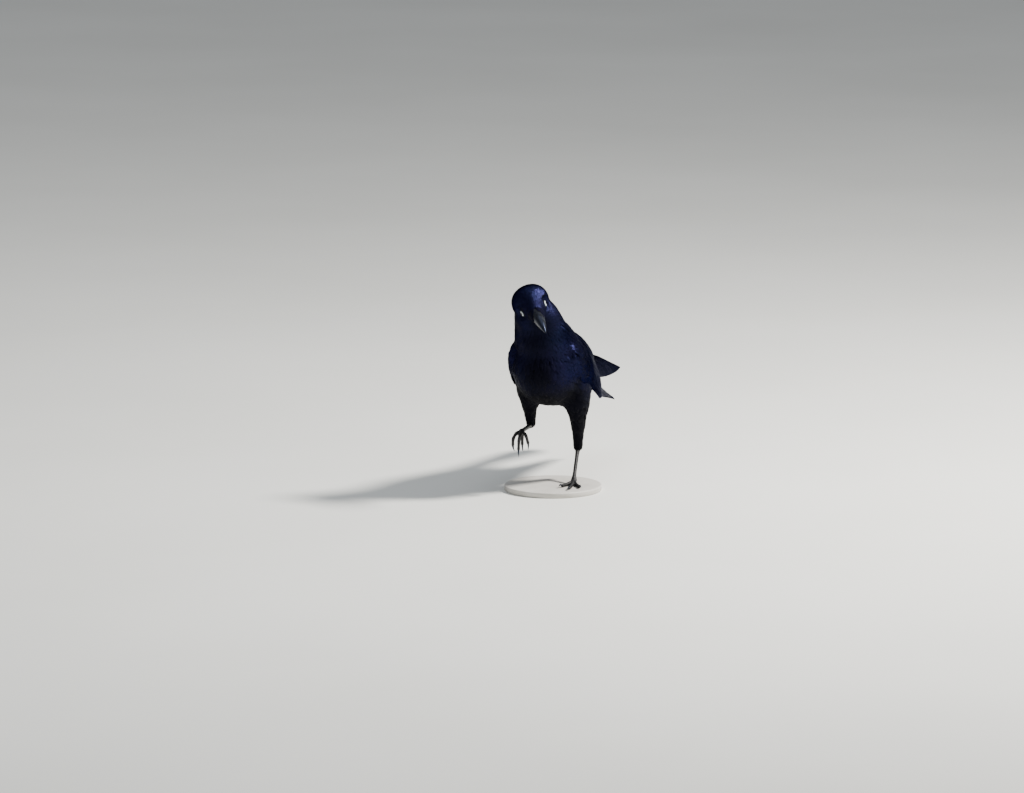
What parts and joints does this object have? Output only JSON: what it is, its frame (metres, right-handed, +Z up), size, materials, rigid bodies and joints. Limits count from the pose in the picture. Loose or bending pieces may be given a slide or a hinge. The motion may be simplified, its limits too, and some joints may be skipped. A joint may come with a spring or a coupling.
{
  "type": "torresian crow, life-size model",
  "caption": "Life-size adult crow in mid-step, head turned and lowered, on a plain round display base.",
  "frame": {"origin": "centre of the flat underside of the display base", "axes": "+Z up, the bird faces -Y and its tail points to +Y, +X is the bird's left"},
  "size_m": [0.136, 0.4353, 0.3037],
  "materials": {
    "plumage": "glossy black feathers with a violet blue sheen",
    "flight_feathers": "sleek black feathers with a blue sheen",
    "horn": "smooth black horn",
    "scales": "satin black scaled skin",
    "eye": "wet white iris round a black pupil",
    "stand": "plain satin, pale warm grey"
  },
  "bodies": {
    "root": {"head": "plumage", "neck": "plumage", "trunk": "plumage", "bill_upper": "horn", "bill_lower": "horn", "eye_left": "eye", "eye_right": "eye", "tail": "flight_feathers", "wing_left_shoulder": "plumage", "wing_left_secondaries": "flight_feathers", "wing_left_primaries": "flight_feathers", "wing_right_shoulder": "plumage", "wing_right_secondaries": "flight_feathers", "wing_right_primaries": "flight_feathers", "thigh_left": "plumage", "thigh_right": "plumage", "shank_left": "scales", "shank_right": "scales", "toe_left_inner": "scales", "toe_left_middle": "scales", "toe_left_outer": "scales", "toe_left_hind": "scales", "toe_right_inner": "scales", "toe_right_middle": "scales", "toe_right_outer": "scales", "toe_right_hind": "scales", "claw_left_inner": "horn", "claw_left_middle": "horn", "claw_left_outer": "horn", "claw_left_hind": "horn", "claw_right_inner": "horn", "claw_right_middle": "horn", "claw_right_outer": "horn", "claw_right_hind": "horn", "stand_base": "stand"}
  },
  "joints": []
}
